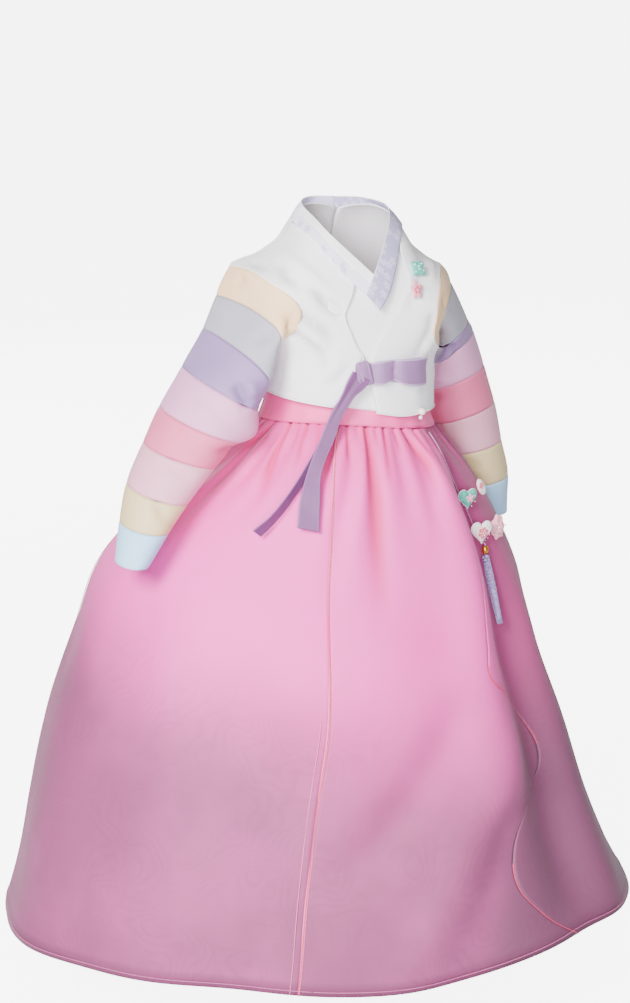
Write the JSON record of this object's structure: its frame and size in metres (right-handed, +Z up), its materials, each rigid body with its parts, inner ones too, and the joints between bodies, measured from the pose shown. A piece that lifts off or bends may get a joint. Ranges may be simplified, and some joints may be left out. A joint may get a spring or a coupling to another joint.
{
  "type": "child's hanbok of a short jacket and a full skirt",
  "caption": "Child's worn hanbok: short white jacket with pastel striped sleeves, crossed collar and tied ribbon over a full gathered pink skirt, with a hanging ornament.",
  "frame": {"origin": "middle of the neck's base, where the wearer's neck holds the garment up", "axes": "+Z up along the body, -Y the front, +X the wearer's left"},
  "size_m": [0.6647, 0.5408, 0.7615],
  "materials": {
    "teal_satin": "soft satin",
    "rose_satin": "soft satin",
    "collar_lilac": "soft satin",
    "collar_white": "soft satin",
    "pearl": "pearl lustre",
    "jacket_white": "matt silk-like with tone-on-tone flowers",
    "gold_bead": "polished",
    "periwinkle_silk": "silk thread",
    "ivory_satin": "soft satin",
    "ribbon_mauve": "soft satin",
    "skirt_organza": "sheer woven organza with a fine sheen",
    "skirt_under_layer": "plain matt lining",
    "waistband": "satin",
    "sleeve_cream": "soft satin",
    "sleeve_mist": "soft satin",
    "sleeve_lavender": "soft satin",
    "sleeve_lilac": "soft satin",
    "sleeve_rose": "soft satin",
    "sleeve_blush": "soft satin",
    "sleeve_butter": "soft satin",
    "sleeve_sky": "soft satin"
  },
  "bodies": {
    "root": {"chest_butterfly": "teal_satin", "chest_charm": "rose_satin", "collar_left_band": "collar_lilac", "collar_right_band": "collar_lilac", "collar_white_strip": "collar_white", "hem_bead": "pearl", "hem_pearl": "pearl", "jacket_inner_front": "jacket_white", "jacket_left_back": "jacket_white", "jacket_left_front": "jacket_white", "jacket_right_back": "jacket_white", "jacket_right_front": "jacket_white", "norigae_bead": "gold_bead", "norigae_cord": "periwinkle_silk", "norigae_heart": "teal_satin", "norigae_lower_heart": "ivory_satin", "norigae_rosette": "rose_satin", "norigae_tassel": "periwinkle_silk", "norigae_wing": "ivory_satin", "ribbon_knot": "ribbon_mauve", "ribbon_loop": "ribbon_mauve", "ribbon_thin_tail": "ribbon_mauve", "ribbon_wide_tail": "ribbon_mauve", "skirt_back_left_panel": "skirt_organza", "skirt_back_right_panel": "skirt_organza", "skirt_front_left_panel": "skirt_organza", "skirt_front_right_panel": "skirt_organza", "skirt_lining": "skirt_under_layer", "skirt_side_left_panel": "skirt_organza", "skirt_waistband": "waistband", "sleeve_left_1_cream": "sleeve_cream", "sleeve_left_2_mist": "sleeve_mist", "sleeve_left_3_lavender": "sleeve_lavender", "sleeve_left_4_lilac": "sleeve_lilac", "sleeve_left_5_rose": "sleeve_rose", "sleeve_left_6_blush": "sleeve_blush", "sleeve_left_7_butter": "sleeve_butter", "sleeve_left_8_sky": "sleeve_sky", "sleeve_right_1_cream": "sleeve_cream", "sleeve_right_2_mist": "sleeve_mist", "sleeve_right_3_lavender": "sleeve_lavender", "sleeve_right_4_lilac": "sleeve_lilac", "sleeve_right_5_rose": "sleeve_rose", "sleeve_right_6_blush": "sleeve_blush", "sleeve_right_7_butter": "sleeve_butter", "sleeve_right_8_sky": "sleeve_sky"}
  },
  "joints": []
}
